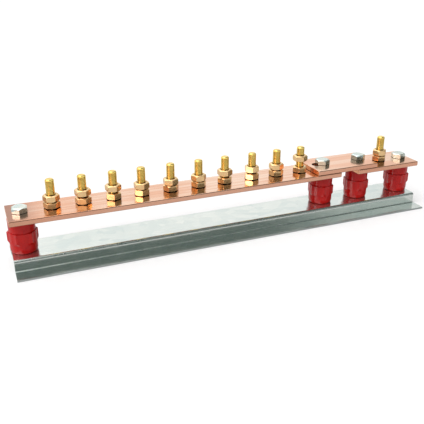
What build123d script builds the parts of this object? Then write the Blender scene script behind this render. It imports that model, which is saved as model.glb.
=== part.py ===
"""Earth terminal bar: ten brass terminals on a copper bar, a bolted link to a one-terminal end bar,
four moulded stand-off insulators and a folded, galvanised base channel."""
import os

from build123d import *

# Copper bars, lying along X
bar_width = 50.0
bar_thick = 6.0
bar_edge_radius = 1.0
main_bar_length = 401.0
bar_gap = 26.0
end_bar_length = 92.0
bolt_margin = 14.0
end_bolt_margin = 13.0
first_terminal = 48.0
terminal_count = 10

# Link that joins the two bars and is unbolted to part them
link_thick = 6.0
link_left_overhang = 20.0
link_right_overhang = 13.0
link_slot_travel = 8.0
link_slot_width = 12.5

# Folded base channel
sheet_thick = 2.0
channel_height = 15.0
channel_width = 50.0
base_width = 90.0
bend_inner_radius = 2.0

# Stand-off insulators: round neck, six-sided collar, tapered round body
insulator_height = 38.5
neck_diameter = 29.8
neck_height = 13.0
collar_across_flats = 30.8
collar_diameter = 34.2
collar_height = 10.5
collar_chamfer = 1.8
collar_run_out = 4.2
body_top_diameter = 29.6
body_base_diameter = 28.8
body_base_radius = 1.8
insulator_turns = (6.0, -12.0, -15.0, -25.0)

# Threaded bushes moulded into both ends of each insulator
bush_across_flats = 14.0
bush_length = 13.0
bush_bore_depth = 11.5

# Fasteners, all with the same thread
thread_diameter = 10.0
thread_pitch_diameter = 9.0
thread_end_chamfer = 1.0
hex_across_flats = 16.0
head_height = 6.4
nut_height = 7.5
hex_face_relief = 1.0
thread_engagement = 10.0
terminal_height = 32.4

# Clearances
thread_clearance = 0.05
terminal_hole_clearance = 0.25
bolt_hole_clearance = 0.5
link_nut_clearance = 3.75

# The end terminal stands nearer the insulator than the link: this much of the room between them is on its link side
end_terminal_share = 0.6

# How far each terminal of the main bar stands off its even place along the bar
terminal_shifts = (0.0, 0.0, 0.0, -1.3, -0.5, 0.0, -0.4, 1.3, 0.7, 0.0)

# How each hexagon is turned about its own axis, and how far each clamp nut stands off its lock nut
bolt_turns = (24.0, 25.0, -18.0, 10.0)
base_screw_turns = (8.0, 21.0, -14.0, 3.0)
terminal_head_turns = (0.0, 12.0, -9.0, 20.0, 5.0, -15.0, 17.0, -4.0, 25.0, -22.0, 9.0)
lock_nut_turns = (-11.0, -20.0, 23.0, 20.0, -3.0, -2.0, -1.0, 13.0, -17.0, -1.0, -11.0)
clamp_nut_turns = (-11.0, -17.0, -18.0, -28.0, 25.0, -7.0, -30.0, 13.0, 28.0, 29.0, -13.0)
clamp_nut_gaps = (0.0, 1.5, 2.0, 0.0, 0.0, 0.0, 1.8, 1.4, 0.5, 6.9, 0.0)

# Places worked out from the sizes above
overall_length = main_bar_length + bar_gap + end_bar_length
left_end = -overall_length / 2
end_bar_left = left_end + main_bar_length + bar_gap
bar_bottom = channel_height + insulator_height
bar_top = bar_bottom + bar_thick
link_top = bar_top + link_thick
bolt_places = (
    left_end + bolt_margin,
    left_end + main_bar_length - bolt_margin,
    end_bar_left + bolt_margin,
    end_bar_left + end_bar_length - end_bolt_margin,
)
hex_corner = hex_across_flats / 3**0.5
first_place = left_end + first_terminal
last_place = bolt_places[1] - link_left_overhang - link_nut_clearance - hex_corner
terminal_pitch = (last_place - first_place) / (terminal_count - 1)
main_terminal_places = [first_place + i * terminal_pitch + terminal_shifts[i] for i in range(terminal_count)]
link_end = bolt_places[2] + link_right_overhang
end_room = bolt_places[3] - neck_diameter / 2 - link_end - 2 * hex_corner
end_terminal_place = link_end + hex_corner + end_terminal_share * end_room
terminal_places = main_terminal_places + [end_terminal_place]
terminal_hole = thread_diameter + 2 * terminal_hole_clearance
bolt_hole = thread_diameter + 2 * bolt_hole_clearance
thread_bore = thread_pitch_diameter + 2 * thread_clearance


def turned(profile):
    """Solid of revolution about Z from (radius, height) points."""
    return revolve(Plane.XZ * make_face(Polyline(*profile, close=True)), axis=Axis.Z)


def drilled(diameter, bottom, top):
    """Plain round cutter about Z between two heights."""
    return Pos(0, 0, bottom) * Cylinder(
        diameter / 2, top - bottom, align=(Align.CENTER, Align.CENTER, Align.MIN)
    )


def hexagon(across_flats, height):
    """Six-sided prism standing on Z = 0 with a flat facing -Y."""
    return extrude(RegularPolygon(across_flats / 2, 6, major_radius=False), height)


def chamfered_hexagon(height, chamfer_bottom):
    """Spanner hexagon whose corners are cut back at 30 degrees on its outer faces."""
    face = hex_across_flats / 2 - hex_face_relief
    depth = (hex_corner - face) / 3**0.5
    lower = [(face, 0), (hex_corner, depth)] if chamfer_bottom else [(hex_corner, 0)]
    upper = [(hex_corner, height - depth), (face, height)]
    return hexagon(hex_across_flats, height) & turned([(0, 0)] + lower + upper + [(0, height)])


def shank(length):
    """Threaded shank hanging down from Z = 0, with a chamfered free end."""
    radius = thread_diameter / 2
    tip = radius - thread_end_chamfer
    return turned([(0, 0), (radius, 0), (radius, thread_end_chamfer - length), (tip, -length), (0, -length)])


def hex_screw(length):
    """Hexagon head on Z = 0 with its shank below."""
    return chamfered_hexagon(head_height, False) + shank(length)


def engaged(bottom, top):
    """Thread crests that a nut or bush takes up between two heights, so that it meets the screw on the pitch line."""
    return drilled(thread_diameter, bottom, top) - drilled(thread_pitch_diameter, bottom, top)


def hex_nut():
    """Hexagon nut standing on Z = 0."""
    return chamfered_hexagon(nut_height, True) - drilled(thread_bore, 0, nut_height)


def flat_bar(length, thick):
    """Drawn flat bar from X = 0, centred on Y, standing on Z = 0, with its long edges eased."""
    bar = Box(length, bar_width, thick, align=(Align.MIN, Align.CENTER, Align.MIN))
    return fillet(bar.edges().filter_by(Axis.X), bar_edge_radius)


def drilled_bar(length, left, thick, bolts, terminals):
    """Flat bar at its place with its bolt holes and terminal holes."""
    bar = Pos(left, 0, bar_bottom) * flat_bar(length, thick)
    for x in bolts:
        bar -= Pos(x, 0, 0) * drilled(bolt_hole, bar_bottom, bar_bottom + thick)
    for x in terminals:
        bar -= Pos(x, 0, 0) * drilled(terminal_hole, bar_bottom, bar_bottom + thick)
    return bar


def link():
    """Link plate: a slot at its left bolt and a round hole at its right bolt."""
    left_bolt, right_bolt = bolt_places[1], bolt_places[2]
    length = right_bolt - left_bolt + link_left_overhang + link_right_overhang
    plate = Pos(left_bolt - link_left_overhang, 0, bar_top) * flat_bar(length, link_thick)
    slot_middle = left_bolt - link_slot_travel / 2
    slot = extrude(SlotCenterToCenter(link_slot_travel, link_slot_width), link_thick)
    plate -= Pos(slot_middle, 0, bar_top) * slot
    return plate - Pos(right_bolt, 0, 0) * drilled(bolt_hole, bar_top, link_top)


def base_channel():
    """Top-hat channel folded from one sheet, with a hole under each insulator."""
    web = channel_width / 2
    inner_web = web - sheet_thick
    inner_top = channel_height - sheet_thick
    rim = base_width / 2
    outline = Polyline(
        (-rim, 0), (-inner_web, 0), (-inner_web, inner_top), (inner_web, inner_top), (inner_web, 0), (rim, 0),
        (rim, sheet_thick), (web, sheet_thick), (web, channel_height),
        (-web, channel_height), (-web, sheet_thick), (-rim, sheet_thick),
        close=True,
    )
    section = make_face(outline)
    outer_radius = bend_inner_radius + sheet_thick
    top_bends = section.vertices().filter_by_position(Axis.Y, channel_height, channel_height)
    foot_bends = section.vertices().filter_by_position(Axis.Y, 0, 0).filter_by_position(Axis.X, -web, web)
    section = fillet(top_bends + foot_bends, outer_radius)
    inner_bends = section.vertices().filter_by_position(Axis.Y, inner_top, inner_top)
    inner_bends = [v for v in inner_bends if abs(abs(v.X) - inner_web) < 0.01]
    folds = section.vertices().filter_by_position(Axis.Y, sheet_thick, sheet_thick)
    folds = [v for v in folds if abs(abs(v.X) - web) < 0.01]
    section = fillet(inner_bends + folds, bend_inner_radius)
    channel = extrude(Plane.YZ.offset(left_end) * section, overall_length)
    for x in bolt_places:
        channel -= Pos(x, 0, 0) * drilled(bolt_hole, inner_top, channel_height)
    return channel


def bush():
    """Six-sided threaded bush hanging down from Z = 0, with a blind bore."""
    body = Pos(0, 0, -bush_length) * hexagon(bush_across_flats, bush_length)
    return body - drilled(thread_bore, -bush_bore_depth, 0)


def insulator():
    """Insulator standing on Z = 0, with a pocket for a bush in each end."""
    collar_top = insulator_height - neck_height
    collar_low = collar_top - collar_height
    run_out_low = collar_low - collar_run_out
    corner = collar_diameter / 2
    body_top = body_top_diameter / 2
    body_base = body_base_diameter / 2
    neck = neck_diameter / 2
    body = turned([(0, 0), (body_base, 0), (body_top, run_out_low), (body_top, collar_top), (0, collar_top)])
    body = fillet(body.edges().filter_by_position(Axis.Z, 0, 0), body_base_radius)
    limit = turned([
        (0, run_out_low), (body_top, run_out_low), (corner, collar_low),
        (corner, collar_top - collar_chamfer), (corner - collar_chamfer, collar_top), (0, collar_top),
    ])
    collar = Pos(0, 0, run_out_low) * hexagon(collar_across_flats, collar_top - run_out_low) & limit
    solid = body + collar + drilled(2 * neck, collar_top, insulator_height)
    pocket = hexagon(bush_across_flats, bush_length)
    return solid - pocket - Pos(0, 0, insulator_height - bush_length) * pocket


def at(x, z, turn, solid):
    """Solid turned about Z and set on the bar's centre line."""
    return Pos(x, 0, z) * Rot(0, 0, turn) * solid


nodes = {
    "base_channel": base_channel(),
    "main_bar": drilled_bar(main_bar_length, left_end, bar_thick, bolt_places[:2], main_terminal_places),
    "end_bar": drilled_bar(end_bar_length, end_bar_left, bar_thick, bolt_places[2:], terminal_places[-1:]),
    "disconnect_link": link(),
}

for i, x in enumerate(bolt_places):
    number = i + 1
    linked = i in (1, 2)
    seat = link_top if linked else bar_top
    turn = insulator_turns[i]
    nodes[f"insulator_{number}"] = at(x, channel_height, turn, insulator())
    nodes[f"top_bush_{number}"] = at(x, bar_bottom, turn, bush())
    nodes[f"base_bush_{number}"] = at(x, channel_height, turn, Rot(180, 0, 0) * bush())
    bar_bolt = at(x, seat, bolt_turns[i], hex_screw(seat - bar_bottom + thread_engagement))
    nodes[f"bar_bolt_{number}"] = bar_bolt - Pos(x, 0, 0) * engaged(bar_bottom - thread_engagement, bar_bottom)
    base_screw = Rot(180, 0, 0) * hex_screw(sheet_thick + thread_engagement)
    base_screw = at(x, channel_height - sheet_thick, base_screw_turns[i], base_screw)
    base_thread = engaged(channel_height, channel_height + thread_engagement)
    nodes[f"base_screw_{number}"] = base_screw - Pos(x, 0, 0) * base_thread

for i, x in enumerate(terminal_places):
    number = f"{i + 1:02d}"
    clamp_seat = bar_top + nut_height + clamp_nut_gaps[i]
    nut_threads = engaged(bar_top, bar_top + nut_height) + engaged(clamp_seat, clamp_seat + nut_height)
    terminal_screw = Rot(180, 0, 0) * hex_screw(bar_thick + terminal_height)
    terminal_screw = at(x, bar_bottom, terminal_head_turns[i], terminal_screw)
    nodes[f"terminal_screw_{number}"] = terminal_screw - Pos(x, 0, 0) * nut_threads
    nodes[f"lock_nut_{number}"] = at(x, bar_top, lock_nut_turns[i], hex_nut())
    nodes[f"clamp_nut_{number}"] = at(x, clamp_seat, clamp_nut_turns[i], hex_nut())

os.makedirs("parts", exist_ok=True)
for name, solid in nodes.items():
    solid.label = name
    export_step(solid, f"parts/{name}.step")
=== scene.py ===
"""Looks of an earth terminal bar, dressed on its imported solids.

Polished copper bars carry a row of brass screw terminals and a bolted link. They stand on red moulded
insulators over a folded, galvanised channel, on a white studio floor.
"""

import logging
import math
from collections.abc import Callable, Iterable, Sequence
from dataclasses import dataclass, field
from enum import Enum

import bmesh
import bpy
from mathutils import Matrix, Vector


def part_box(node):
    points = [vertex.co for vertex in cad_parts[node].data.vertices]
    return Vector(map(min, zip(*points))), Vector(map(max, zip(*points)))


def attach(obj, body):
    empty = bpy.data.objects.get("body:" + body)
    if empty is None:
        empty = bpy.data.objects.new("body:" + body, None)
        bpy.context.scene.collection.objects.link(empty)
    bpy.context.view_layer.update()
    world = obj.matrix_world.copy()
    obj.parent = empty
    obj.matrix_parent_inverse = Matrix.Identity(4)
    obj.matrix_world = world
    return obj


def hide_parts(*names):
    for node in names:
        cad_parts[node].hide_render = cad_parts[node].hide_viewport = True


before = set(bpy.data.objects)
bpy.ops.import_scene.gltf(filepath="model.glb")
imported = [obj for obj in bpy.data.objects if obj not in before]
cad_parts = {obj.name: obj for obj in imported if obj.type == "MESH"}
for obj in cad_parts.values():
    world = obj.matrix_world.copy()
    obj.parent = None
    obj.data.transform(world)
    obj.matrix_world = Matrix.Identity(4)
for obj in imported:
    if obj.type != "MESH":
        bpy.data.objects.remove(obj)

LOG = logging.getLogger("earth_bar")
MM = 0.001
SIXTH_TURN = math.pi / 3
CHAMFER_SLOPE = math.tan(math.radians(30))
INSULATORS = 4
TERMINALS = 11
Row = Callable[[float], tuple[float, float]]
Ring = Sequence[bmesh.types.BMVert]
Colour = tuple[float, float, float]
Limits = tuple[float, float]
Socket = bpy.types.NodeSocket


class RecordSlot(Enum):
    """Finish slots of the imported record."""

    COPPER = "copper"
    BRASS = "brass"
    MOULDING = "red_moulding"
    ZINC = "zinc_steel"
    SHEET = "galvanised_steel"


class HeadSide(Enum):
    """Which way a screw head faces, as the sign of its outer face's direction."""

    UP = 1
    DOWN = -1


class Crease(Enum):
    """Angle in degrees above which an edge of a piece stays sharp."""

    SHEET = 30.0
    TURNED = 32.0
    BAR = 40.0


def quarter_turn(steps: int) -> list[float]:
    """Angles from zero to a right angle, in equal steps."""
    return [math.pi / 2 * i / steps for i in range(steps + 1)]


@dataclass(frozen=True)
class Pattern:
    """Cloudy pattern: its repeats per metre along X, Y and Z, its finer layers and how strong they are."""

    stretch: tuple[float, float, float]
    detail: float = 3.0
    rough: float = 0.5


class NodeBench:
    """Node tree under construction, with short calls for the nodes that finishes and studio share."""

    def __init__(self, tree: bpy.types.NodeTree, output: str) -> None:
        """Empties a tree and gives it an output.

        Args:
            tree: Tree of a material or of the surround.
            output: Type of its output node.
        """
        self.tree = tree
        self.tree.nodes.clear()
        self.output = self.tree.nodes.new(output)

    def add(self, kind: str, **settings: object) -> bpy.types.Node:
        """Adds a node.

        Args:
            kind: Node type, such as ShaderNodeMix.
            **settings: Properties set on the node.

        Returns:
            The new node.
        """
        node = self.tree.nodes.new(kind)
        for key, value in settings.items():
            setattr(node, key, value)
        return node

    def link(self, source: Socket, target: Socket) -> None:
        """Links one socket to another."""
        self.tree.links.new(source, target)

    def span(self, value: Socket, source: Limits, target: Limits) -> Socket:
        """Carries a value smoothly from one range to another.

        Args:
            value: Socket that is read.
            source: Range that is read.
            target: Range that is given, held at its ends.

        Returns:
            The value socket in the new range.
        """
        node = self.add("ShaderNodeMapRange", interpolation_type="SMOOTHSTEP")
        self.link(value, node.inputs["Value"])
        for key, number in zip(("From Min", "From Max", "To Min", "To Max"), source + target):
            node.inputs[key].default_value = number
        return node.outputs["Result"]

    def blend(self, share: Socket, first: Colour | Socket, second: Colour | Socket) -> Socket:
        """Blends two colours.

        Args:
            share: How much of the second colour shows.
            first: Colour or colour socket at share 0.
            second: Colour or colour socket at share 1.

        Returns:
            The colour socket.
        """
        node = self.add("ShaderNodeMix", data_type="RGBA")
        self.link(share, node.inputs["Factor"])
        for socket, colour in ((node.inputs[6], first), (node.inputs[7], second)):
            if isinstance(colour, tuple):
                socket.default_value = (*colour, 1.0)
            else:
                self.link(colour, socket)
        return node.outputs[2]

    def sums(self, kind: str, first: Socket, second: Socket | float) -> Socket:
        """Combines two values.

        Args:
            kind: Operation, such as MULTIPLY.
            first: First value.
            second: Second value or number.

        Returns:
            The value socket.
        """
        node = self.add("ShaderNodeMath", operation=kind)
        self.link(first, node.inputs[0])
        if isinstance(second, float):
            node.inputs[1].default_value = second
        else:
            self.link(second, node.inputs[1])
        return node.outputs[0]

    def total(self, first: Socket, *more: Socket | float) -> Socket:
        """Adds up values.

        Args:
            first: First value.
            *more: Values or numbers added to it, in order.

        Returns:
            The value socket.
        """
        for value in more:
            first = self.sums("ADD", first, value)
        return first


class FinishBench(NodeBench):
    """Node tree of one material, with the patterns that the finishes share."""

    CREVICE_SAMPLES = 6
    # How squarely a surface has to face along an axis before a look begins there, and before it is full.
    SQUARE_ON = (0.7, 0.95)

    def __init__(self, name: str) -> None:
        """Starts an empty material.

        Args:
            name: Name of the material.
        """
        self.material = bpy.data.materials.new(name)
        self.material.use_nodes = True
        super().__init__(self.material.node_tree, "ShaderNodeOutputMaterial")

    def place(self, stretch: Sequence[float]) -> Socket:
        """Place on the piece in metres, stretched along each axis.

        Args:
            stretch: Pattern repeats per metre along X, Y and Z.

        Returns:
            The vector socket for a texture.
        """
        coords = self.add("ShaderNodeTexCoord")
        mapping = self.add("ShaderNodeMapping")
        mapping.inputs["Scale"].default_value = stretch
        self.link(coords.outputs["Object"], mapping.inputs["Vector"])
        return mapping.outputs["Vector"]

    def noise(self, pattern: Pattern) -> Socket:
        """Cloudy pattern.

        Args:
            pattern: Its repeats and layers.

        Returns:
            The value socket, about 0.5 on average.
        """
        node = self.add("ShaderNodeTexNoise")
        node.inputs["Scale"].default_value = 1.0
        node.inputs["Detail"].default_value = pattern.detail
        node.inputs["Roughness"].default_value = pattern.rough
        self.link(self.place(pattern.stretch), node.inputs["Vector"])
        return node.outputs["Fac"]

    def along(self, axis: str) -> Socket:
        """Distance in metres from the object's middle along one axis.

        Args:
            axis: X, Y or Z.

        Returns:
            The value socket.
        """
        split = self.add("ShaderNodeSeparateXYZ")
        self.link(self.place((1.0, 1.0, 1.0)), split.inputs["Vector"])
        return split.outputs[axis]

    def facing(self, axis: str, signed: bool = False) -> Socket:
        """How squarely the surface faces along one axis, from 0 to 1.

        Args:
            axis: X, Y or Z.
            signed: True where facing the other way counts as -1.

        Returns:
            The value socket.
        """
        geometry = self.add("ShaderNodeNewGeometry")
        split = self.add("ShaderNodeSeparateXYZ")
        self.link(geometry.outputs["Normal"], split.inputs["Vector"])
        return split.outputs[axis] if signed else self.sums("ABSOLUTE", split.outputs[axis], 0.0)

    def square_on(self, axis: str, share: float = 1.0) -> Socket:
        """A share on surfaces that face squarely along one axis, either way, and 0 on the others."""
        return self.span(self.facing(axis), self.SQUARE_ON, (0.0, share))

    def crevice(self, reach: float, limits: Limits) -> Socket:
        """How deep a place lies between neighbouring surfaces.

        Args:
            reach: Distance in metres within which a neighbour counts.
            limits: Open share below which a place is all crevice, and above which it is none.

        Returns:
            The value socket, 1 in a crevice and 0 in the open.
        """
        node = self.add("ShaderNodeAmbientOcclusion", samples=self.CREVICE_SAMPLES)
        node.inputs["Distance"].default_value = reach
        return self.span(node.outputs["AO"], limits, (1.0, 0.0))

    def bump(self, height: Socket, depth: float, strength: float, under: Socket | None = None) -> Socket:
        """Surface relief.

        Args:
            height: Height pattern.
            depth: Depth of the relief in metres.
            strength: How strongly it shows.
            under: Coarser relief that it lies on.

        Returns:
            The normal socket.
        """
        node = self.add("ShaderNodeBump")
        node.inputs["Distance"].default_value = depth
        node.inputs["Strength"].default_value = strength
        self.link(height, node.inputs["Height"])
        if under is not None:
            self.link(under, node.inputs["Normal"])
        return node.outputs["Normal"]

    def surface(
        self, colour: Socket, roughness: Socket, normal: Socket, **constants: float
    ) -> bpy.types.Material:
        """Joins the patterns in one surface shader.

        Args:
            colour: Colour pattern.
            roughness: Roughness pattern.
            normal: Relief.
            **constants: Numbers set on the shader's own sockets, with spaces written as underscores.

        Returns:
            The finished material.
        """
        shader = self.add("ShaderNodeBsdfPrincipled")
        for key, value in constants.items():
            shader.inputs[key.replace("_", " ")].default_value = value
        self.link(colour, shader.inputs["Base Color"])
        self.link(roughness, shader.inputs["Roughness"])
        self.link(normal, shader.inputs["Normal"])
        self.link(shader.outputs["BSDF"], self.output.inputs["Surface"])
        return self.material


@dataclass(frozen=True)
class PolishedCopper:
    """Drawn, polished copper: fine lengthwise lines, duller sides, sawn ends; painted shade on sides,
    underside, left end and crevices.
    """

    bright: Colour = (0.96, 0.70, 0.53)
    deep: Colour = (0.86, 0.46, 0.29)
    side: Colour = (0.78, 0.40, 0.27)
    shade_brown: Colour = (0.42, 0.20, 0.13)
    cut: Colour = (0.95, 0.50, 0.28)
    under: Colour = (0.34, 0.18, 0.12)
    crevice_shade: Colour = (0.16, 0.07, 0.04)
    clouds: Pattern = Pattern((9.0, 26.0, 26.0), detail=4.0)
    lines: Pattern = Pattern((5.0, 900.0, 900.0), detail=2.0)
    streaks: Pattern = Pattern((2.4, 120.0, 120.0))
    saw: Pattern = Pattern((60.0, 160.0, 2200.0), detail=2.0)
    left_shade: Limits = (-260.0 * MM, -150.0 * MM)
    deeper_right: Limits = (60.0 * MM, 130.0 * MM)
    left_end_shade: Limits = (-259.5 * MM, -215.0 * MM)
    crevice_shade_reach: float = 2.2 * MM
    line_depth: float = 0.012 * MM
    saw_depth: float = 0.06 * MM
    roughness: Limits = (0.10, 0.16)

    def material(self) -> bpy.types.Material:
        """Makes the copper.

        Returns:
            The material.
        """
        bench = FinishBench("polished_copper")
        clouds = bench.noise(self.clouds)
        lines = bench.noise(self.lines)
        ends = bench.square_on("X")
        sides = bench.square_on("Y", 0.85)
        shaded_underside = bench.span(bench.facing("Z", signed=True), (-0.9, -0.6), (1.0, 0.0))
        tone = bench.total(
            bench.span(clouds, (0.36, 0.66), (0.0, 0.75)),
            bench.span(bench.noise(self.streaks), (0.40, 0.64), (0.0, 0.65)),
            # Painted shade: the tone deepens towards the left end.
            bench.span(bench.along("X"), self.left_shade, (0.40, 0.0)),
            # The tone deepens towards the right end.
            bench.span(bench.along("X"), self.deeper_right, (0.0, 0.35)),
        )
        colour = bench.blend(tone, self.bright, self.deep)
        # Painted shade: the last few centimetres of the left end turn brown.
        colour = bench.blend(bench.span(bench.along("X"), self.left_end_shade, (0.95, 0.0)), colour, self.shade_brown)
        # Painted shade: faces that look across the bar take a darker colour; their extra roughness is a real
        # duller finish.
        colour = bench.blend(sides, colour, self.side)
        colour = bench.blend(ends, colour, self.cut)
        # Painted shade: faces turned downwards take a dark colour; their extra roughness is a real duller
        # finish.
        colour = bench.blend(shaded_underside, colour, self.under)
        # Painted shade: crevices round the nuts and between the pieces are coloured dark.
        colour = bench.blend(bench.crevice(self.crevice_shade_reach, (0.35, 0.78)), colour, self.crevice_shade)
        roughness = bench.total(
            bench.span(lines, (0.3, 0.7), self.roughness),
            bench.span(clouds, (0.35, 0.7), (0.0, 0.07)),
            bench.sums("MULTIPLY", sides, 0.10),
            bench.sums("MULTIPLY", ends, 0.16),
            bench.sums("MULTIPLY", shaded_underside, 0.25),
        )
        marks = bench.sums("MULTIPLY", bench.noise(self.saw), ends)
        relief = bench.bump(lines, self.line_depth, strength=0.35)
        relief = bench.bump(marks, self.saw_depth, strength=0.6, under=relief)
        return bench.surface(colour, roughness, relief, Metallic=1.0, IOR=1.5)


@dataclass(frozen=True)
class BrightBrass:
    """Bright turned brass, slightly scratched and warmer where it has dulled."""

    name: str
    bright: Colour
    dulled: Colour
    polish: float = 1.0
    crevice_shade: Colour = (0.12, 0.06, 0.02)
    clouds: Pattern = Pattern((120.0, 120.0, 90.0), detail=4.0)
    rings: Pattern = Pattern((250.0, 250.0, 2600.0), detail=2.0)
    scratches: Pattern = Pattern((1700.0, 380.0, 900.0), detail=2.0)
    crevice_shade_reach: float = 2.0 * MM
    mark_depth: float = 0.02 * MM
    roughness: Limits = (0.12, 0.20)

    def material(self) -> bpy.types.Material:
        """Makes the brass.

        Returns:
            The material.
        """
        bench = FinishBench(self.name)
        clouds = bench.noise(self.clouds)
        scratches = bench.noise(self.scratches)
        colour = bench.blend(bench.span(clouds, (0.40, 0.72), (0.0, 0.7)), self.bright, self.dulled)
        # Painted shade: crevices between the pieces are coloured dark.
        colour = bench.blend(bench.crevice(self.crevice_shade_reach, (0.30, 0.72)), colour, self.crevice_shade)
        roughness = bench.total(
            bench.span(clouds, (0.3, 0.7), self.roughness),
            bench.span(scratches, (0.45, 0.75), (0.0, 0.10)),
        )
        relief = bench.bump(bench.noise(self.rings), self.mark_depth, strength=0.3)
        relief = bench.bump(scratches, self.mark_depth, strength=0.25, under=relief)
        return bench.surface(colour, roughness, relief, Metallic=self.polish, IOR=1.5)


@dataclass(frozen=True)
class RedMoulding:
    """Glossy red moulding compound with a faint flow pattern and a fine skin."""

    body: Colour = (0.56, 0.011, 0.009)
    flow: Colour = (0.48, 0.008, 0.009)
    streams: Pattern = Pattern((60.0, 60.0, 140.0), detail=4.0, rough=0.6)
    specks: Pattern = Pattern((2400.0, 2400.0, 2400.0), detail=1.0)
    skin: Pattern = Pattern((700.0, 700.0, 700.0), detail=2.0)
    skin_depth: float = 0.02 * MM
    roughness: Limits = (0.09, 0.16)

    def material(self) -> bpy.types.Material:
        """Makes the moulding.

        Returns:
            The material.
        """
        bench = FinishBench("red_moulding")
        streams = bench.noise(self.streams)
        tone = bench.total(
            bench.span(streams, (0.38, 0.68), (0.0, 0.8)),
            bench.span(bench.noise(self.specks), (0.62, 0.78), (0.0, 0.3)),
        )
        colour = bench.blend(tone, self.body, self.flow)
        roughness = bench.span(streams, (0.3, 0.7), self.roughness)
        relief = bench.bump(bench.noise(self.skin), self.skin_depth, strength=0.15)
        return bench.surface(colour, roughness, relief, IOR=1.47, Specular_IOR_Level=0.30)


@dataclass(frozen=True)
class ZincPlate:
    """Bright zinc plating with a faint blue and straw cast."""

    blue: Colour = (0.64, 0.75, 0.72)
    straw: Colour = (0.74, 0.77, 0.69)
    cast: Pattern = Pattern((90.0, 90.0, 90.0))
    grain: Pattern = Pattern((1500.0, 1500.0, 1500.0), detail=2.0)
    grain_depth: float = 0.03 * MM
    roughness: Limits = (0.14, 0.22)

    def material(self) -> bpy.types.Material:
        """Makes the plating.

        Returns:
            The material.
        """
        bench = FinishBench("zinc_plate")
        cast = bench.noise(self.cast)
        grain = bench.noise(self.grain)
        colour = bench.blend(bench.span(cast, (0.38, 0.66), (0.0, 1.0)), self.blue, self.straw)
        roughness = bench.total(
            bench.span(cast, (0.3, 0.7), self.roughness),
            bench.span(grain, (0.4, 0.75), (0.0, 0.12)),
        )
        relief = bench.bump(grain, self.grain_depth, strength=0.3)
        return bench.surface(colour, roughness, relief, Metallic=1.0, IOR=1.5)


@dataclass(frozen=True)
class GalvanisedSheet:
    """Hot-dip galvanised sheet: flat zinc crystals, faint rolling streaks and greyer cut edges."""

    pale: Colour = (0.84, 0.875, 0.825)
    grey: Colour = (0.62, 0.71, 0.69)
    cut: Colour = (0.46, 0.50, 0.49)
    crystals: tuple[float, float, float] = (75.0, 105.0, 105.0)
    clouds: Pattern = Pattern((14.0, 30.0, 30.0), detail=4.0)
    streaks: Pattern = Pattern((6.0, 420.0, 420.0), detail=2.0)
    grain: Pattern = Pattern((1300.0, 1300.0, 1300.0), detail=2.0)
    rim: Limits = (44.6 * MM, 44.7 * MM)
    shaded_right_end: Limits = (0.0, 260.0 * MM)
    grain_depth: float = 0.01 * MM
    roughness: Limits = (0.12, 0.16)
    polish: float = 0.96

    def material(self) -> bpy.types.Material:
        """Makes the sheet.

        Returns:
            The material.
        """
        bench = FinishBench("galvanised_sheet")
        crystals = bench.add("ShaderNodeTexVoronoi", feature="F1")
        crystals.inputs["Scale"].default_value = 1.0
        bench.link(bench.place(self.crystals), crystals.inputs["Vector"])
        shade = bench.add("ShaderNodeSeparateColor")
        bench.link(crystals.outputs["Color"], shade.inputs["Color"])
        grain = bench.noise(self.grain)
        upright = bench.facing("Z")
        tops = bench.span(upright, (0.6, 0.98), (0.05, 0.42))
        tone = bench.total(
            bench.sums("MULTIPLY", shade.outputs["Red"], tops),
            # Painted shade: the sheet turns greyer towards the right end.
            bench.span(bench.along("X"), self.shaded_right_end, (0.0, 0.25)),
            bench.span(bench.noise(self.clouds), (0.35, 0.70), (0.0, 0.22)),
            bench.span(bench.noise(self.streaks), (0.5, 0.8), (0.0, 0.15)),
        )
        across = bench.sums("ABSOLUTE", bench.along("Y"), 0.0)
        edges = bench.sums("MAXIMUM", bench.square_on("X"), bench.span(across, self.rim, (0.0, 1.0)))
        colour = bench.blend(tone, self.pale, self.grey)
        colour = bench.blend(edges, colour, self.cut)
        flat = bench.sums("MAXIMUM", upright, bench.facing("Y"))
        roughness = bench.total(
            bench.span(shade.outputs["Green"], (0.0, 1.0), self.roughness),
            bench.span(grain, (0.4, 0.75), (0.0, 0.04)),
            bench.span(flat, (0.90, 0.998), (0.14, 0.0)),
            bench.sums("MULTIPLY", edges, 0.25),
        )
        relief = bench.bump(grain, self.grain_depth, strength=0.15)
        return bench.surface(colour, roughness, relief, Metallic=self.polish, IOR=1.5)


# Warmer brass of the nuts and bushes, and lemon brass of the terminal screws.
NUT_BRASS = BrightBrass("nut_brass", (0.94, 0.65, 0.33), (0.85, 0.52, 0.25), polish=0.86)
SCREW_BRASS = BrightBrass("screw_brass", (0.95, 0.70, 0.20), (0.86, 0.58, 0.13))


@dataclass(frozen=True)
class Finishes:
    """The finishes of the object, made once."""

    copper: bpy.types.Material = field(default_factory=PolishedCopper().material)
    brass: bpy.types.Material = field(default_factory=NUT_BRASS.material)
    screws: bpy.types.Material = field(default_factory=SCREW_BRASS.material)
    moulding: bpy.types.Material = field(default_factory=RedMoulding().material)
    zinc: bpy.types.Material = field(default_factory=ZincPlate().material)
    sheet: bpy.types.Material = field(default_factory=GalvanisedSheet().material)


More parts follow.
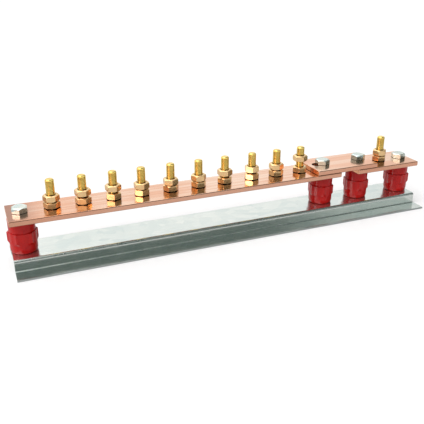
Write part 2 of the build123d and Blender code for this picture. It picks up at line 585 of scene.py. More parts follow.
class MeshBench:
    """Mesh of one piece under construction."""

    # Distance in metres within which points are one, and how far large faces outweigh small ones in shading.
    WELD = 1e-7
    FACE_WEIGHT = 80

    def __init__(self) -> None:
        """Starts an empty mesh."""
        self.mesh = bmesh.new()

    def ring(self, points: Iterable[Sequence[float]]) -> list[bmesh.types.BMVert]:
        """Adds the vertices of one ring at these places."""
        return [self.mesh.verts.new(p) for p in points]

    def band(self, first: Ring, second: Ring) -> None:
        """Joins two closed rings of equal length by a band of faces.

        Args:
            first: Vertices of one ring.
            second: Vertices of the next ring.
        """
        for i in range(len(first)):
            j = (i + 1) % len(first)
            self.mesh.faces.new((first[i], first[j], second[j], second[i]))

    def skin(self, rings: Sequence[Ring]) -> None:
        """Joins rings by bands, each one to the next."""
        for first, second in zip(rings, rings[1:]):
            self.band(first, second)

    def cover(self, rings: Sequence[Ring]) -> None:
        """Fills a flat face between its outer edge and its holes.

        Args:
            rings: Rings of vertices that bound the face.
        """
        edges = []
        for ring in rings:
            edges += [self.mesh.edges.get((ring[i - 1], ring[i])) for i in range(len(ring))]
        bmesh.ops.triangle_fill(self.mesh, use_beauty=True, edges=edges)

    def polar(self, axis: Vector, angles: Sequence[float], rows: Sequence[Row], closed: bool = False) -> None:
        """Skins rows of points around an upright axis.

        Args:
            axis: Any point of the axis.
            angles: Directions around the axis.
            rows: For each row, radius and height as a function of direction.
            closed: True where the last row meets the first, as around a bore, and no end is capped.
        """
        rings = []
        for row in rows:
            places = [(a, *row(a)) for a in angles]
            spots = [(axis.x + r * math.cos(a), axis.y + r * math.sin(a), z) for a, r, z in places]
            rings.append(self.ring(spots))
        self.skin(rings)
        if closed:
            self.band(rings[-1], rings[0])
        else:
            self.mesh.faces.new(rings[0])
            self.mesh.faces.new(rings[-1])

    def piece(self, name: str, material: bpy.types.Material, crease: Crease) -> bpy.types.Object:
        """Turns the mesh into a shaded object in the scene.

        Args:
            name: Name of the piece.
            material: Finish.
            crease: Which edges stay sharp.

        Returns:
            The object.
        """
        bmesh.ops.remove_doubles(self.mesh, verts=self.mesh.verts, dist=self.WELD)
        bmesh.ops.dissolve_degenerate(self.mesh, edges=self.mesh.edges, dist=self.WELD)
        bmesh.ops.recalc_face_normals(self.mesh, faces=self.mesh.faces)
        data = bpy.data.meshes.new(name)
        self.mesh.to_mesh(data)
        self.mesh.free()
        data.polygons.foreach_set("use_smooth", [True] * len(data.polygons))
        data.set_sharp_from_angle(angle=math.radians(crease.value))
        data.materials.append(material)
        made = bpy.data.objects.new(name, data)
        bpy.context.scene.collection.objects.link(made)
        weighted = made.modifiers.new("even_faces", "WEIGHTED_NORMAL")
        weighted.keep_sharp = True
        weighted.weight = self.FACE_WEIGHT
        return made


@dataclass(frozen=True)
class HexOutline:
    """Outline of a hexagon with softened corners."""

    across_flats: float
    corner_radius: float
    turn: float
    flat_steps: int = 8
    corner_steps: int = 4

    @property
    def reach(self) -> float:
        """Distance from the axis to the middle of a corner's rounding."""
        return (self.across_flats / 2 - self.corner_radius) / math.cos(SIXTH_TURN / 2)

    @property
    def corner_start(self) -> float:
        """Angle off a flat's middle at which its corner begins to round."""
        return math.atan2(self.reach * math.sin(SIXTH_TURN / 2), self.across_flats / 2)

    def radius(self, angle: float) -> float:
        """Distance of the outline from its axis.

        Args:
            angle: Direction around the axis.

        Returns:
            The distance in metres.
        """
        off = abs((angle - self.turn + SIXTH_TURN / 2) % SIXTH_TURN - SIXTH_TURN / 2)
        if off <= self.corner_start:
            return self.across_flats / 2 / math.cos(off)
        away = SIXTH_TURN / 2 - off
        rounding = math.sqrt(self.corner_radius**2 - (self.reach * math.sin(away)) ** 2)
        return self.reach * math.cos(away) + rounding

    def angles(self) -> list[float]:
        """Directions that follow the flats and the rounded corners.

        Returns:
            The angles, once around.
        """
        start = self.corner_start
        flat = [start * (2 * i / self.flat_steps - 1) for i in range(self.flat_steps)]
        corner_span = SIXTH_TURN - 2 * start
        corner = [start + corner_span * i / self.corner_steps for i in range(self.corner_steps)]
        return [self.turn + k * SIXTH_TURN + a for k in range(6) for a in flat + corner]


@dataclass(frozen=True)
class HexPlace:
    """Where a six-sided node stands: its axis, its heights and the turn of its flats."""

    axis: Vector
    bottom: float
    top: float
    turn: float

    @classmethod
    def of(cls, node: str) -> "HexPlace":
        """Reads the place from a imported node.

        Args:
            node: Name of the node.

        Returns:
            The place, with the turn taken from the node's farthest corner.
        """
        low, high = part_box(node)
        axis = (low + high) / 2
        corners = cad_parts[node].data.vertices
        # Corners as far out as each other, to the micrometre, leave the choice to the first one.
        far = max(corners, key=lambda v: round(math.hypot(v.co.x - axis.x, v.co.y - axis.y), 6))
        turn = math.atan2(far.co.y - axis.y, far.co.x - axis.x) + SIXTH_TURN / 2
        return cls(axis, low.z, high.z, turn)


def dress(piece: bpy.types.Object, slot: RecordSlot, *nodes: str) -> bpy.types.Object:
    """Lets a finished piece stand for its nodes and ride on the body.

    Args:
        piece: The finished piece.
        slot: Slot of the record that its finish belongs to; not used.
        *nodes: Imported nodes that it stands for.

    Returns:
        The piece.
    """
    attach(piece, "root")
    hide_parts(*nodes)
    return piece


class Cut:
    """Closed line in plan, the edge of a plate or of a hole in it."""

    def points(self, inset: float) -> list[tuple[float, float]]:
        """Points of the line in plan, once around, moved into the plate's metal by an inset."""
        raise NotImplementedError


@dataclass(frozen=True)
class BarEdge(Cut):
    """Outer edge of a bar, its four corners barely eased, its sawn ends sharper than its drawn sides."""

    low: Vector
    high: Vector
    corner: float = 0.5 * MM
    end_share: float = 0.35
    steps: int = 4

    @property
    def middle(self) -> Vector:
        """Middle of the bar."""
        return (self.low + self.high) / 2

    def points(self, inset: float) -> list[tuple[float, float]]:
        """Points of the edge.

        Args:
            inset: How far the line moves into the metal.

        Returns:
            The points in plan.
        """
        low, high = self.low, self.high
        corners = ((high.x, high.y), (low.x, high.y), (low.x, low.y), (high.x, low.y))
        made = []
        for k, (x, y) in enumerate(corners):
            cx = x - math.copysign(self.corner + self.end_share * inset, x - self.middle.x)
            cy = y - math.copysign(self.corner + inset, y - self.middle.y)
            for i in range(self.steps + 1):
                a = math.pi / 2 * (k + i / self.steps)
                made.append((cx + self.corner * math.cos(a), cy + self.corner * math.sin(a)))
        return made


@dataclass(frozen=True)
class SlotEdge(Cut):
    """Edge of a round hole, or of a slot along X where it has travel."""

    x: float
    radius: float
    travel: float = 0.0
    ease_share: float = 0.3
    steps: int = 24

    def points(self, inset: float) -> list[tuple[float, float]]:
        """Points of the hole's edge.

        Args:
            inset: How far the line moves into the metal.

        Returns:
            The points in plan.
        """
        made = []
        for side, start in ((1, -math.pi / 2), (-1, math.pi / 2)):
            for i in range(self.steps + 1):
                a = start + math.pi * i / self.steps
                reach = self.radius + self.ease_share * inset
                made.append((self.x + side * self.travel / 2 + reach * math.cos(a), reach * math.sin(a)))
        return made


@dataclass
class CopperBars:
    """The two copper bars and the link that joins them."""

    finishes: Finishes
    edge_radius: float = 1.0 * MM
    edge_steps: int = 7
    terminal_hole: float = 10.5 * MM
    bolt_hole: float = 11.0 * MM
    slot_width: float = 12.5 * MM
    slot_travel: float = 8.0 * MM
    same_point: float = 1e-9

    def plate(self, node: str, holes: Sequence[SlotEdge]) -> bpy.types.Object:
        """Builds one bar with its holes and eased edges.

        Args:
            node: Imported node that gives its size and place.
            holes: Holes through it.

        Returns:
            The piece.
        """
        low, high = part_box(node)
        bench = MeshBench()
        quarter = quarter_turn(self.edge_steps)
        tops = []
        bottoms = []
        for cut in [BarEdge(low, high), *holes]:
            rings = []
            for sign, z in ((-1, low.z), (1, high.z)):
                for a in quarter if sign < 0 else reversed(quarter):
                    inset = self.edge_radius * (1 - math.sin(a))
                    height = z - sign * self.edge_radius * (1 - math.cos(a))
                    rings.append(bench.ring((x, y, height) for x, y in self.loop(cut, inset)))
            bench.skin(rings)
            bottoms.append(rings[0])
            tops.append(rings[-1])
        bench.cover(tops)
        bench.cover(bottoms)
        piece = bench.piece(f"{node}_finished", self.finishes.copper, Crease.BAR)
        return dress(piece, RecordSlot.COPPER, node)

    def loop(self, cut: Cut, inset: float) -> list[tuple[float, float]]:
        """Points of one edge line without repeats."""
        points = cut.points(inset)
        return [p for i, p in enumerate(points) if math.dist(p, points[i - 1]) > self.same_point]

    def axes(self, nodes: Iterable[str]) -> list[float]:
        """Places along the bar of the screws in these nodes."""
        return [HexPlace.of(n).axis.x for n in nodes]

    def build(self) -> list[bpy.types.Object]:
        """Builds both bars and the link.

        Returns:
            The pieces.
        """
        bolts = self.axes(f"bar_bolt_{i}" for i in range(1, INSULATORS + 1))
        studs = self.axes(f"terminal_screw_{i:02d}" for i in range(1, TERMINALS + 1))
        made = []
        for node, bolt_pair in (("main_bar", bolts[:2]), ("end_bar", bolts[2:])):
            low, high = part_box(node)
            holes = [SlotEdge(x, self.bolt_hole / 2) for x in bolt_pair]
            holes += [SlotEdge(x, self.terminal_hole / 2) for x in studs if low.x < x < high.x]
            made.append(self.plate(node, holes))
        slot = SlotEdge(bolts[1] - self.slot_travel / 2, self.slot_width / 2, self.slot_travel)
        made.append(self.plate("disconnect_link", [slot, SlotEdge(bolts[2], self.bolt_hole / 2)]))
        return made


@dataclass
class BaseChannel:
    """Folded top-hat channel under the insulators."""

    finishes: Finishes
    sheet: float = 2.0 * MM
    inner_bend: float = 1.2 * MM
    web_half: float = 25.0 * MM
    edge_ease: float = 0.25 * MM
    end_ease: float = 0.15 * MM
    hole: float = 11.0 * MM
    bend_steps: int = 14
    edge_steps: int = 3
    hole_steps: int = 48

    def centre_line(self, rim: float, height: float) -> list[tuple[float, float, float]]:
        """Middle line of the sheet in section, from one flange's edge to the other's.

        Args:
            rim: Half the width over the flanges.
            height: Height of the channel.

        Returns:
            For each point, its place across, its height and the direction of the sheet's outer side.
        """
        half = self.sheet / 2
        radius = self.inner_bend + half
        web = self.web_half - half
        quarter = quarter_turn(self.bend_steps)
        right = [(rim, half, math.pi / 2)]
        fold = (web + radius, half + radius)
        for a in quarter:
            right.append((fold[0] - radius * math.sin(a), fold[1] - radius * math.cos(a), math.pi / 2 - a))
        bend = (web - radius, height - half - radius)
        for a in quarter:
            right.append((bend[0] + radius * math.cos(a), bend[1] + radius * math.sin(a), a))
        left = [(-y, z, math.pi - a) for y, z, a in reversed(right)]
        return right + left

    def section(self, rim: float, height: float, inset: float) -> list[tuple[float, float]]:
        """Closed outline of the sheet in section, with its long edges eased.

        Args:
            rim: Half the width over the flanges.
            height: Height of the channel.
            inset: How far the outline moves into the sheet.

        Returns:
            The outline's points across and up.
        """
        line = self.centre_line(rim, height)
        reach = self.sheet / 2 - inset
        ease = self.edge_ease
        nose = ease - inset
        rise = self.sheet - ease
        outer = [(y + reach * math.cos(a), z + reach * math.sin(a)) for y, z, a in line]
        inner = [(y - reach * math.cos(a), z - reach * math.sin(a)) for y, z, a in line]
        quarter = quarter_turn(self.edge_steps)
        tips = {}
        for side in (1, -1):
            middle = side * (rim - ease)
            upper = [(middle + side * nose * math.sin(a), rise + nose * math.cos(a)) for a in quarter]
            lower = [(middle + side * nose * math.cos(a), ease - nose * math.sin(a)) for a in quarter]
            tips[side] = upper + lower
        return outer[1:-1] + tips[-1] + inner[-2:0:-1] + tips[1][::-1]

    def build(self) -> bpy.types.Object:
        """Builds the channel with its holes.

        Returns:
            The piece.
        """
        low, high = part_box("base_channel")
        ease = self.end_ease
        bench = MeshBench()
        rings = []
        for x, inset in ((low.x, ease), (low.x + ease, 0.0), (high.x - ease, 0.0), (high.x, ease)):
            rings.append(bench.ring((x, y, z) for y, z in self.section(high.y, high.z, inset)))
        bench.skin(rings)
        bench.cover([rings[0]])
        bench.cover([rings[-1]])
        made = bench.piece("base_channel_finished", self.finishes.sheet, Crease.SHEET)
        self.drill(made, high.z)
        return dress(made, RecordSlot.SHEET, "base_channel")

    def drill(self, channel: bpy.types.Object, top: float) -> None:
        """Cuts the holes that the screws under the insulators pass through.

        Args:
            channel: The folded channel.
            top: Height of its upper face.
        """
        bench = MeshBench()
        angles = [2 * math.pi * i / self.hole_steps for i in range(self.hole_steps)]
        heights = (top - 3 * self.sheet / 2, top + self.sheet)
        rows = [lambda a, z=z: (self.hole / 2, z) for z in heights]
        for i in range(1, INSULATORS + 1):
            bench.polar(HexPlace.of(f"base_screw_{i}").axis, angles, rows)
        cutter = bench.piece("hole_cutter", self.finishes.sheet, Crease.SHEET)
        cut = channel.modifiers.new("holes", "BOOLEAN")
        cut.operation = "DIFFERENCE"
        cut.solver = "EXACT"
        cut.object = cutter
        channel.modifiers.move(len(channel.modifiers) - 1, 0)
        graph = bpy.context.evaluated_depsgraph_get()
        data = bpy.data.meshes.new_from_object(channel.evaluated_get(graph))
        channel.modifiers.remove(cut)
        channel.data = data
        bpy.data.objects.remove(cutter)


@dataclass
class StandOff:
    """One moulded insulator: round neck, six-sided collar and tapered body, with a bush in each end.

    The collars are turned on from the solids', by a number of degrees for each insulator, so that a
    corner stands out on each side as pictured and the round body shows between the corners.
    """

    finishes: Finishes
    number: int
    neck_radius: float = 14.4 * MM
    neck_height: float = 14.6 * MM
    collar_flats: float = 28.6 * MM
    collar_radius: float = 17.1 * MM
    collar_height: float = 9.0 * MM
    collar_chamfer: float = 0.9 * MM
    collar_corner: float = 0.4 * MM
    collar_turns: tuple[float, ...] = (-6.0, -33.0, -31.0, -19.0)
    run_out: float = 4.6 * MM
    body_top: float = 14.8 * MM
    body_base: float = 14.25 * MM
    base_round: float = 1.8 * MM
    bush_flats: float = 14.0 * MM
    bush_corner: float = 0.3 * MM
    bush_depth: float = 13.0 * MM
    ease: float = 0.3 * MM
    groove_depth: float = 0.5 * MM
    groove_height: float = 0.8 * MM
    flat_steps: int = 12
    corner_steps: int = 10
    round_steps: int = 4
    body_steps: int = 4
    run_steps: int = 10
    collar_steps: int = 3
    chamfer_steps: int = 4

    def rows(self, place: HexPlace, collar: HexOutline) -> list[Row]:
        """Rows of the skin from the lower pocket's floor to the upper pocket's floor.

        Args:
            place: Where the insulator stands.
            collar: Outline of its collar.

        Returns:
            The rows.
        """
        pocket = HexOutline(self.bush_flats, self.bush_corner, place.turn)
        ledge = place.top - self.neck_height
        shoulder = ledge - self.collar_chamfer
        collar_low = ledge - self.collar_height
        run_low = collar_low - self.run_out
        body_low = place.bottom + self.base_round
        groove = self.neck_radius - self.groove_depth
        groove_top = ledge + self.groove_height

        def body(z: float) -> float:
            """Radius of the tapered body at a height."""
            share = min(1.0, (z - place.bottom) / (run_low - place.bottom))
            return self.body_base + (self.body_top - self.body_base) * share

        def side(z: float, pull: float = 0.0) -> Row:
            """Row around body and collar at one height.

            Args:
                z: Height of the row.
                pull: How far the row is pulled in, though never into the groove.

            Returns:
                The row.
            """
            share = min(1.0, max(0.0, (z - run_low) / self.run_out))
            limit = self.body_top + (self.collar_radius - self.body_top) * share * share * (3 - 2 * share)
            limit = min(limit, self.collar_radius - max(0.0, z - shoulder))
            return lambda a: (max(groove, body(z) - pull, min(collar.radius(a), limit) - pull), z)

        def level(radius: float, z: float) -> Row:
            """Round row."""
            return lambda a: (radius, z)

        def socket(z: float) -> Row:
            """Row around a bush."""
            return lambda a: (pocket.radius(a), z)

        def climb(start: float, end: float, steps: int) -> list[Row]:
            """Rows of the side above one height, in equal steps up to another."""
            return [side(start + (end - start) * i / steps) for i in range(1, steps + 1)]

        quarter = quarter_turn(self.round_steps)
        made = [socket(place.bottom + self.bush_depth), socket(place.bottom)]
        for a in quarter:
            z = place.bottom + self.base_round * (1 - math.cos(a))
            made.append(level(body(z) - self.base_round * (1 - math.sin(a)), z))
        made += climb(body_low, run_low, self.body_steps)
        made += climb(run_low, collar_low, self.run_steps)
        made += climb(collar_low, shoulder, self.collar_steps)
        made += climb(shoulder, ledge - self.ease, self.chamfer_steps)
        for a in quarter[1:]:
            made.append(side(ledge - self.ease * (1 - math.sin(a)), self.ease * (1 - math.cos(a))))
        made += [level(groove, ledge), level(groove, groove_top)]
        for sign, z in ((1, groove_top), (-1, place.top)):
            for a in quarter if sign > 0 else reversed(quarter):
                reach = self.neck_radius - self.ease * (1 - math.sin(a))
                made.append(level(reach, z + sign * self.ease * (1 - math.cos(a))))
        return made + [socket(place.top), socket(place.top - self.bush_depth)]

    def build(self) -> list[bpy.types.Object]:
        """Builds the insulator and dresses its two bushes, which stay as packed.

        Returns:
            The insulator and its bushes.
        """
        node = f"insulator_{self.number}"
        place = HexPlace.of(node)
        turn = place.turn + math.radians(self.collar_turns[self.number - 1])
        collar = HexOutline(self.collar_flats, self.collar_corner, turn, self.flat_steps, self.corner_steps)
        bench = MeshBench()
        bench.polar(place.axis, collar.angles(), self.rows(place, collar))
        piece = bench.piece(f"{node}_finished", self.finishes.moulding, Crease.TURNED)
        made = [dress(piece, RecordSlot.MOULDING, node)]
        for bush in (f"top_bush_{self.number}", f"base_bush_{self.number}"):
            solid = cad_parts[bush]
            solid.data.materials.clear()
            solid.data.materials.append(self.finishes.brass)
            made.append(solid)
        return made


@dataclass
class HexHardware:
    """Sizes that every screw, bolt and nut shares, and the rows of their hexagons."""

    across_flats: float = 16.0 * MM
    head_height: float = 6.4 * MM
    face_relief: float = 1.0 * MM
    corner_radius: float = 0.25 * MM
    edge: float = 0.09 * MM
    face_edge: float = 0.054 * MM
    thread: float = 10.0 * MM
    thread_core: float = 9.0 * MM
    tip_chamfer: float = 1.0 * MM
    sink: float = 0.7 * MM
    washer_face: float = 0.35 * MM

    @property
    def face(self) -> float:
        """Radius of the flat ring left by the chamfer."""
        return self.across_flats / 2 - self.face_relief

    def outline(self, turn: float) -> HexOutline:
        """Spanner hexagon at one turn."""
        return HexOutline(self.across_flats, self.corner_radius, turn)

    def chamfered_end(self, outline: HexOutline, z: float, inward: int) -> list[Row]:
        """Rows from a hexagon's flat end face over its chamfer to its flats.

        Args:
            outline: The hexagon.
            z: Height of the end face.
            inward: 1 where the hexagon lies above the face, -1 where it lies below.

        Returns:
            The rows, from the face outward.
        """

        def depth(a: float) -> float:
            """Height of the chamfer's edge over the face."""
            return (outline.radius(a) - self.face) * CHAMFER_SLOPE

        return [
            lambda a: (self.face - self.edge, z),
            lambda a: (self.face + self.face_edge, z + inward * self.face_edge * CHAMFER_SLOPE),
            lambda a: (outline.radius(a) - self.edge, z + inward * (depth(a) - self.edge * CHAMFER_SLOPE)),
            lambda a: (outline.radius(a), z + inward * (depth(a) + self.edge)),
        ]

    def nut_rows(self, outline: HexOutline, bottom: float, top: float) -> list[Row]:
        """Rows around a nut, from its bore's lower end round the outside to the upper end.

        Args:
            outline: The hexagon.
            bottom: Height of its lower face.
            top: Height of its upper face.

        Returns:
            The rows.
        """
        bore = self.thread / 2
        rows = [lambda a: (bore, bottom + self.sink), lambda a: (bore + self.sink, bottom)]
        rows += self.chamfered_end(outline, bottom, 1)
        rows += reversed(self.chamfered_end(outline, top, -1))
        return rows + [lambda a: (bore + self.sink, top), lambda a: (bore, top - self.sink)]

    def head_rows(self, outline: HexOutline, seat: float, outer: float) -> list[Row]:
        """Rows of a screw head from the thin washer face at its seat to its chamfered outer face.

        Args:
            outline: The hexagon.
            seat: Height of the face that bears on the part.
            outer: Height of the outer face.

        Returns:
            The rows.
        """
        side = 1 if outer > seat else -1
        under = seat + side * self.washer_face
        rows = [
            lambda a: (self.face, seat),
            lambda a: (self.face, under),
            lambda a: (outline.radius(a) - self.edge, under),
            lambda a: (outline.radius(a), under + side * self.edge),
        ]
        return rows + list(reversed(self.chamfered_end(outline, outer, -side)))


@dataclass
class PlatedBolt:
    """Plated hexagon screw: a bar bolt from above or a base screw from below."""

    finishes: Finishes
    node: str
    side: HeadSide
    engagement: float = 10.0 * MM
    dish_rim: float = 1.1 * MM
    dish_slope: float = 0.6 * MM
    dish_depth: float = 0.2 * MM

    def build(self, hardware: HexHardware) -> bpy.types.Object:
        """Builds the bolt.

        Args:
            hardware: Shared hexagon sizes.

        Returns:
            The piece.
        """
        place = HexPlace.of(self.node)
        up = self.side.value
        outer, tip = (place.top, place.bottom) if up > 0 else (place.bottom, place.top)
        seat = outer - up * hardware.head_height
        core, full = hardware.thread_core / 2, hardware.thread / 2
        gripped = tip + up * self.engagement
        outline = hardware.outline(place.turn)
        dish_edge = hardware.face - self.dish_rim
        rows: list[Row] = [
            lambda a: (core - hardware.tip_chamfer, tip),
            lambda a: (core, tip + up * hardware.tip_chamfer),
            lambda a: (core, gripped),
            lambda a: (full, gripped),
            lambda a: (full, seat),
            *hardware.head_rows(outline, seat, outer),
            lambda a: (dish_edge, outer),
            lambda a: (dish_edge - self.dish_slope, outer - up * self.dish_depth),
        ]
        bench = MeshBench()
        bench.polar(place.axis, outline.angles(), rows)
        piece = bench.piece(f"{self.node}_finished", self.finishes.zinc, Crease.TURNED)
        return dress(piece, RecordSlot.ZINC, self.node)


@dataclass(frozen=True)
class CutThread:
    """Coarse thread along an upright screw, skinned along its helix.

    Each knot is a corner of the thread's profile: its share of the pitch, and whether it lies on the crest.
    """

    radius: float = 4.8 * MM
    pitch: float = 1.5 * MM
    depth: float = 0.5 * MM
    steps: int = 40
    spare_turns: int = 3
    weld: float = 1e-6
    knots: tuple[tuple[float, bool], ...] = ((0.0, True), (0.46, True), (0.64, False), (0.82, False))

    def add_to(self, bench: MeshBench, axis: Vector, bottom: float, top: float, chamfer: float) -> None:
        """Adds the threaded rod to a mesh.

        Args:
            bench: Mesh under construction.
            axis: Any point of the rod's axis.
            bottom: Height where the thread starts.
            top: Height of the rod's tip.
            chamfer: Chamfer of the tip.
        """
        count = len(self.knots)
        turns = int((top - bottom) / self.pitch) + self.spare_turns
        lines = []
        for k in range(turns * count):
            share, crest = self.knots[k % count]
            start = bottom + (k // count + share - 1) * self.pitch
            spots = []
            for i in range(self.steps):
                a = 2 * math.pi * i / self.steps
                z = min(top, max(bottom, start + self.pitch * i / self.steps))
                radius = min(self.radius - (0.0 if crest else self.depth), self.radius - chamfer + top - z)
                spots.append((axis.x + radius * math.cos(a), axis.y + radius * math.sin(a), z))
            lines.append(bench.ring(spots))
        for k in range(len(lines) - 1):
            for i in range(self.steps - 1):
                bench.mesh.faces.new((lines[k][i], lines[k][i + 1], lines[k + 1][i + 1], lines[k + 1][i]))
            # The end of one turn meets the start of the same line a turn further up.
            if k + count + 1 < len(lines):
                over = (lines[k + count][0], lines[k + count + 1][0])
                bench.mesh.faces.new((lines[k][-1], over[0], over[1], lines[k + 1][-1]))
        bmesh.ops.remove_doubles(bench.mesh, verts=bench.mesh.verts, dist=self.weld)
        bmesh.ops.dissolve_degenerate(bench.mesh, edges=bench.mesh.edges, dist=self.weld)
        open_edges = [e for e in bench.mesh.edges if len(e.link_faces) == 1]
        bmesh.ops.holes_fill(bench.mesh, edges=open_edges, sides=0)


@dataclass
class Terminal:
    """One brass terminal: a screw from below with a lock nut and a clamp nut."""

    finishes: Finishes
    number: int
    thread_root: float = 0.5 * MM

    def build(self, hardware: HexHardware, thread: CutThread) -> list[bpy.types.Object]:
        """Builds the screw and its two nuts.

        Args:
            hardware: Shared hexagon sizes.
            thread: Thread of the screw.

        Returns:
            The three pieces.
        """
        made = [self.screw(hardware, thread)]
        for kind in ("lock", "clamp"):
            node = f"{kind}_nut_{self.number:02d}"
            place = HexPlace.of(node)
            outline = hardware.outline(place.turn)
            bench = MeshBench()
            rows = hardware.nut_rows(outline, place.bottom, place.top)
            bench.polar(place.axis, outline.angles(), rows, closed=True)
            piece = bench.piece(f"{node}_finished", self.finishes.brass, Crease.TURNED)
            made.append(dress(piece, RecordSlot.BRASS, node))
        return made

    def screw(self, hardware: HexHardware, thread: CutThread) -> bpy.types.Object:
        """Builds the screw with its head under the bar.

        Args:
            hardware: Shared hexagon sizes.
            thread: Thread of the screw.

        Returns:
            The piece.
        """
        node = f"terminal_screw_{self.number:02d}"
        place = HexPlace.of(node)
        seat = place.bottom + hardware.head_height
        outline = hardware.outline(place.turn)
        bench = MeshBench()
        thread.add_to(bench, place.axis, seat - self.thread_root, place.top, hardware.tip_chamfer)
        bench.polar(place.axis, outline.angles(), hardware.head_rows(outline, seat, place.bottom))
        piece = bench.piece(f"{node}_finished", self.finishes.screws, Crease.TURNED)
        return dress(piece, RecordSlot.BRASS, node)


@dataclass(frozen=True)
class StudioPlace:
    """Direction seen from the object: degrees from the viewer's side towards the linked end, and up."""

    azimuth: float
    elevation: float

    def direction(self) -> Vector:
        """Unit vector of the direction."""
        a, e = math.radians(self.azimuth), math.radians(self.elevation)
        return Vector((math.sin(a) * math.cos(e), -math.cos(a) * math.cos(e), math.sin(e)))


@dataclass(frozen=True)
class Lamp(StudioPlace):
    """One soft lamp: its strength, and its width in degrees as seen from the object."""

    name: str
    level: float
    spread: float

    def hang(self) -> None:
        """Hangs the lamp."""
        data = bpy.data.lights.new(self.name, "SUN")
        data.energy = self.level
        data.angle = math.radians(self.spread)
        holder = bpy.data.objects.new(self.name, data)
        holder.rotation_mode = "QUATERNION"
        holder.rotation_quaternion = self.direction().to_track_quat("Z", "Y")
        bpy.context.scene.collection.objects.link(holder)


@dataclass(frozen=True)
class Panel(StudioPlace):
    """Round panel of the surround: how far its soft rim reaches in degrees, and what it adds."""

    outer: float
    inner: float
    level: float


class SurroundBench(NodeBench):
    """Node tree of the studio's surround."""

    def __init__(self, name: str) -> None:
        """Starts an empty surround and puts it round the scene.

        Args:
            name: Name of the surround.
        """
        world = bpy.data.worlds.new(name)
        world.use_nodes = True
        bpy.context.scene.world = world
        super().__init__(world.node_tree, "ShaderNodeOutputWorld")

    def panel(self, panel: Panel) -> Socket:
        """What a round panel adds in each direction.

        Args:
            panel: Its direction, reach and level.

        Returns:
            The value socket, 0 outside the panel.
        """
        coords = self.add("ShaderNodeTexCoord")
        towards = self.add("ShaderNodeVectorMath", operation="DOT_PRODUCT")
        self.link(coords.outputs["Generated"], towards.inputs[0])
        towards.inputs[1].default_value = panel.direction()
        rim = (math.cos(math.radians(panel.outer)), math.cos(math.radians(panel.inner)))
        return self.span(towards.outputs["Value"], rim, (0.0, panel.level))


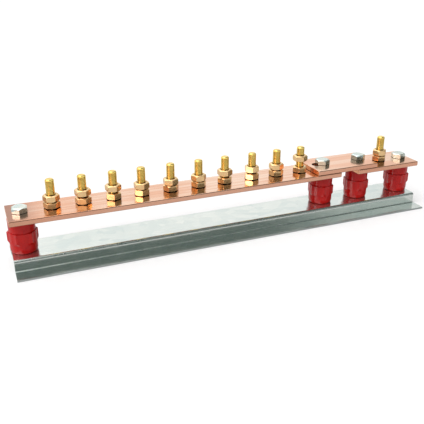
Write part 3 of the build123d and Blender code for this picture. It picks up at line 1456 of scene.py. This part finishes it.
@dataclass
class Studio:
    """White floor, soft light and the camera of the product picture."""

    camera_place: Vector = field(default_factory=lambda: Vector((-0.27896, -0.62097, 0.30928)))
    yaw: float = 22.282
    pitch: float = 23.086
    roll: float = -0.081
    focal_pixels: float = 600.37
    image_size: int = 424
    sensor_width: float = 36.0
    clip: Limits = (0.01, 60.0)
    floor_reach: float = 14.0
    floor_drop: float = 0.2 * MM
    floor_glow: float = 0.34
    paper: Pattern = Pattern((35.0, 35.0, 35.0), detail=2.0)
    paper_light: Colour = (0.66, 0.66, 0.66)
    paper_dark: Colour = (0.645, 0.645, 0.645)
    white: Colour = (1.0, 1.0, 1.0)
    room_dark: Colour = (0.082, 0.112, 0.105)
    sky_level: float = 0.46
    dim_left: Panel = Panel(-130.0, 20.0, outer=35.0, inner=23.0, level=-0.62)
    dim_right: Panel = Panel(108.0, 20.0, outer=33.0, inner=19.0, level=-0.65)
    dark_room: Panel = Panel(34.0, 36.0, outer=56.0, inner=44.0, level=-1.0)
    pale_card: Panel = Panel(42.0, 19.0, outer=14.0, inner=4.0, level=0.57)
    lamps: tuple[Lamp, ...] = (
        Lamp(-62.0, 56.0, "front_lamp", level=1.55, spread=56.0),
        Lamp(-150.0, 60.0, "back_lamp", level=0.9, spread=75.0),
        Lamp(-69.5, 19.5, "left_lamp", level=0.20, spread=14.0),
    )

    def lay_floor(self) -> bpy.types.Object:
        """Lays the white floor, which stays white to the camera and keeps the shadow.

        Returns:
            The floor.
        """
        reach = self.floor_reach
        bench = MeshBench()
        corners = ((-reach, -reach), (reach, -reach), (reach, reach), (-reach, reach))
        bench.mesh.faces.new(bench.ring((x, y, -self.floor_drop) for x, y in corners))
        nodes = FinishBench("studio_floor")
        grain = nodes.span(nodes.noise(self.paper), (0.3, 0.7), (0.0, 1.0))
        matt = nodes.add("ShaderNodeBsdfDiffuse")
        nodes.link(nodes.blend(grain, self.paper_light, self.paper_dark), matt.inputs["Color"])
        seen = nodes.add("ShaderNodeLightPath").outputs["Is Camera Ray"]
        glow = nodes.add("ShaderNodeEmission")
        glow.inputs["Color"].default_value = (*self.white, 1.0)
        nodes.link(nodes.sums("MULTIPLY", seen, self.floor_glow), glow.inputs["Strength"])
        both = nodes.add("ShaderNodeAddShader")
        nodes.link(matt.outputs["BSDF"], both.inputs[0])
        nodes.link(glow.outputs["Emission"], both.inputs[1])
        nodes.link(both.outputs["Shader"], nodes.output.inputs["Surface"])
        floor = bench.piece("studio_floor", nodes.material, Crease.SHEET)
        return floor

    def light(self) -> None:
        """Sets the white surround, dark in front of the object for mirrored rays, and hangs the lamps."""
        bench = SurroundBench("studio_surround")
        bright = bench.total(bench.panel(self.dim_left), bench.panel(self.dim_right), 1.0)
        bright = bench.sums("MULTIPLY", bright, bench.total(bench.panel(self.dark_room), 1.0))
        bright = bench.sums("MAXIMUM", bright, bench.panel(self.pale_card))
        mirrored = bench.blend(bright, self.room_dark, self.white)
        path = bench.add("ShaderNodeLightPath")
        shiny = bench.sums("MAXIMUM", path.outputs["Is Glossy Ray"], path.outputs["Is Transmission Ray"])
        seen = bench.sums("MAXIMUM", shiny, path.outputs["Is Camera Ray"])
        shell = bench.add("ShaderNodeBackground")
        bench.link(bench.blend(shiny, self.white, mirrored), shell.inputs["Color"])
        bench.link(bench.sums("MAXIMUM", seen, self.sky_level), shell.inputs["Strength"])
        bench.link(shell.outputs["Background"], bench.output.inputs["Surface"])
        for lamp in self.lamps:
            lamp.hang()

    def set_camera(self) -> bpy.types.Object:
        """Sets the camera where the picture was taken from.

        Returns:
            The camera.
        """
        yaw, pitch, roll = (math.radians(v) for v in (self.yaw, self.pitch, self.roll))
        ahead = Vector((math.sin(yaw) * math.cos(pitch), math.cos(yaw) * math.cos(pitch), -math.sin(pitch)))
        right = Vector((math.cos(yaw), -math.sin(yaw), 0.0))
        up = right.cross(ahead)
        tilted = right * math.cos(roll) + up * math.sin(roll)
        upright = up * math.cos(roll) - right * math.sin(roll)
        data = bpy.data.cameras.new("picture_camera")
        data.sensor_width = self.sensor_width
        data.lens = self.focal_pixels * self.sensor_width / self.image_size
        data.clip_start, data.clip_end = self.clip
        camera = bpy.data.objects.new("picture_camera", data)
        turn = Matrix((tilted, upright, -ahead)).transposed().to_4x4()
        camera.matrix_world = Matrix.Translation(self.camera_place) @ turn
        bpy.context.scene.collection.objects.link(camera)
        bpy.context.scene.camera = camera
        bpy.context.scene.view_settings.view_transform = "Standard"
        return camera


def main() -> None:
    """Builds the object piece by piece, then the studio around it."""
    logging.basicConfig(level=logging.INFO, format="%(name)s %(message)s")
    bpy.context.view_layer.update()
    finishes = Finishes()
    hardware, thread = HexHardware(), CutThread()
    pieces = [BaseChannel(finishes).build(), *CopperBars(finishes).build()]
    for number in range(1, INSULATORS + 1):
        pieces += StandOff(finishes, number).build()
        pieces.append(PlatedBolt(finishes, f"bar_bolt_{number}", HeadSide.UP).build(hardware))
        pieces.append(PlatedBolt(finishes, f"base_screw_{number}", HeadSide.DOWN).build(hardware))
    for number in range(1, TERMINALS + 1):
        pieces += Terminal(finishes, number).build(hardware, thread)
    for piece in pieces:
        LOG.info("%s: %d faces", piece.name, len(piece.data.polygons))
    studio = Studio()
    studio.lay_floor()
    studio.light()
    studio.set_camera()


if __name__ == "__main__":
    main()
